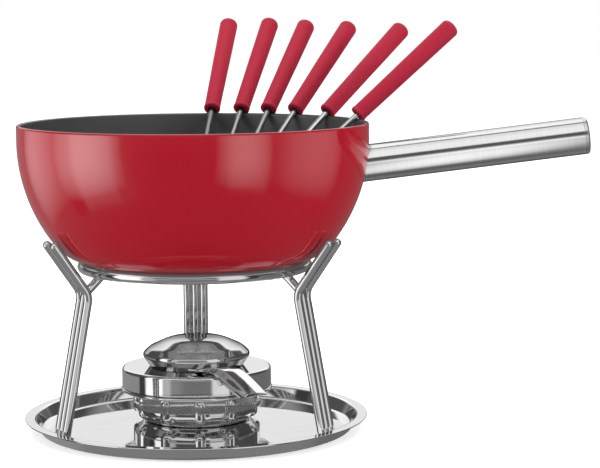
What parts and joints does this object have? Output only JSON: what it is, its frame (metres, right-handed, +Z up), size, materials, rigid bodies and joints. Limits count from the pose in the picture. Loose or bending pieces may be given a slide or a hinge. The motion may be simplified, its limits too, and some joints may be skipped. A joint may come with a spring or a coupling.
{
  "type": "fondue set",
  "caption": "Fondue pot with a tubular side handle on a three-legged wire stand in a round tray, with a paste burner, snuffer lid and long two-tined forks resting on the rim.",
  "frame": {"origin": "centre of the tray underside, on the table", "axes": "+Z up, +X along the pot handle, -Y towards the front"},
  "size_m": [0.3907, 0.3093, 0.2798],
  "materials": {
    "tray": "mirror polished stainless steel",
    "stand_chrome": "bright chrome-plated wire",
    "red_lacquer": "glossy red lacquer outside, charcoal non-stick coating inside",
    "base_steel": "turned steel",
    "handle_steel": "satin, brushed round the tube",
    "plain_steel": "plain",
    "burner_chrome": "polished",
    "wick_fibre": "pressed mineral fibre",
    "fork_red": "soft-touch matt",
    "fork_steel": "polished stainless steel"
  },
  "bodies": {
    "tray_base": {"tray": "tray"},
    "stand": {"support_ring": "stand_chrome", "leg_left_rod_1": "stand_chrome", "leg_left_rod_2": "stand_chrome", "leg_left_strut": "stand_chrome", "leg_right_rod_1": "stand_chrome", "leg_right_rod_2": "stand_chrome", "leg_right_strut": "stand_chrome", "leg_back_rod_1": "stand_chrome", "leg_back_rod_2": "stand_chrome", "leg_back_strut": "stand_chrome"},
    "pot": {"pot_body": "red_lacquer", "pot_base_disc": "base_steel", "handle_boss": "handle_steel", "handle_tube": "handle_steel", "handle_end_cap": "handle_steel", "handle_tie_rod": "plain_steel"},
    "burner_base": {"burner_bowl": "burner_chrome", "fuel_cup": "plain_steel", "wick_pad": "wick_fibre", "wick_gauze": "plain_steel"},
    "burner_top": {"housing_skirt": "burner_chrome", "burner_housing": "burner_chrome", "flame_collar": "burner_chrome"},
    "lid": {"snuffer_lid": "burner_chrome", "lid_lever": "burner_chrome"},
    "fork_1": {"fork_1_handle": "fork_red", "fork_1_shaft": "fork_steel"},
    "fork_2": {"fork_2_handle": "fork_red", "fork_2_shaft": "fork_steel"},
    "fork_3": {"fork_3_handle": "fork_red", "fork_3_shaft": "fork_steel"},
    "fork_4": {"fork_4_handle": "fork_red", "fork_4_shaft": "fork_steel"},
    "fork_5": {"fork_5_handle": "fork_red", "fork_5_shaft": "fork_steel"},
    "fork_6": {"fork_6_handle": "fork_red", "fork_6_shaft": "fork_steel"}
  },
  "joints": [
    {"name": "stand_lift", "type": "slide", "parent": "tray_base", "child": "stand", "axis": [0, 0, 1], "range_m": [0, 0.05]},
    {"name": "pot_lift", "type": "slide", "parent": "stand", "child": "pot", "axis": [0, 0, 1], "range_m": [0, 0.06]},
    {"name": "burner_lift", "type": "slide", "parent": "tray_base", "child": "burner_base", "axis": [0, 0, 1], "range_m": [0, 0.012]},
    {"name": "housing_lift", "type": "slide", "parent": "burner_base", "child": "burner_top", "axis": [0, 0, 1], "range_m": [0, 0.014]},
    {"name": "lid_lift", "type": "slide", "parent": "burner_top", "child": "lid", "axis": [0, 0, 1], "range_m": [0, 0.018]},
    {"name": "fork_1_draw", "type": "slide", "parent": "pot", "child": "fork_1", "axis": [0.1199, 0.7333, 0.6692], "range_m": [0, 0.09]},
    {"name": "fork_2_draw", "type": "slide", "parent": "pot", "child": "fork_2", "axis": [0.2264, 0.7051, 0.672], "range_m": [0, 0.09]},
    {"name": "fork_3_draw", "type": "slide", "parent": "pot", "child": "fork_3", "axis": [0.31, 0.689, 0.6551], "range_m": [0, 0.09]},
    {"name": "fork_4_draw", "type": "slide", "parent": "pot", "child": "fork_4", "axis": [0.443, 0.6245, 0.6433], "range_m": [0, 0.09]},
    {"name": "fork_5_draw", "type": "slide", "parent": "pot", "child": "fork_5", "axis": [0.6044, 0.4878, 0.63], "range_m": [0, 0.09]},
    {"name": "fork_6_draw", "type": "slide", "parent": "pot", "child": "fork_6", "axis": [0.7261, 0.2084, 0.6553], "range_m": [0, 0.09]}
  ]
}
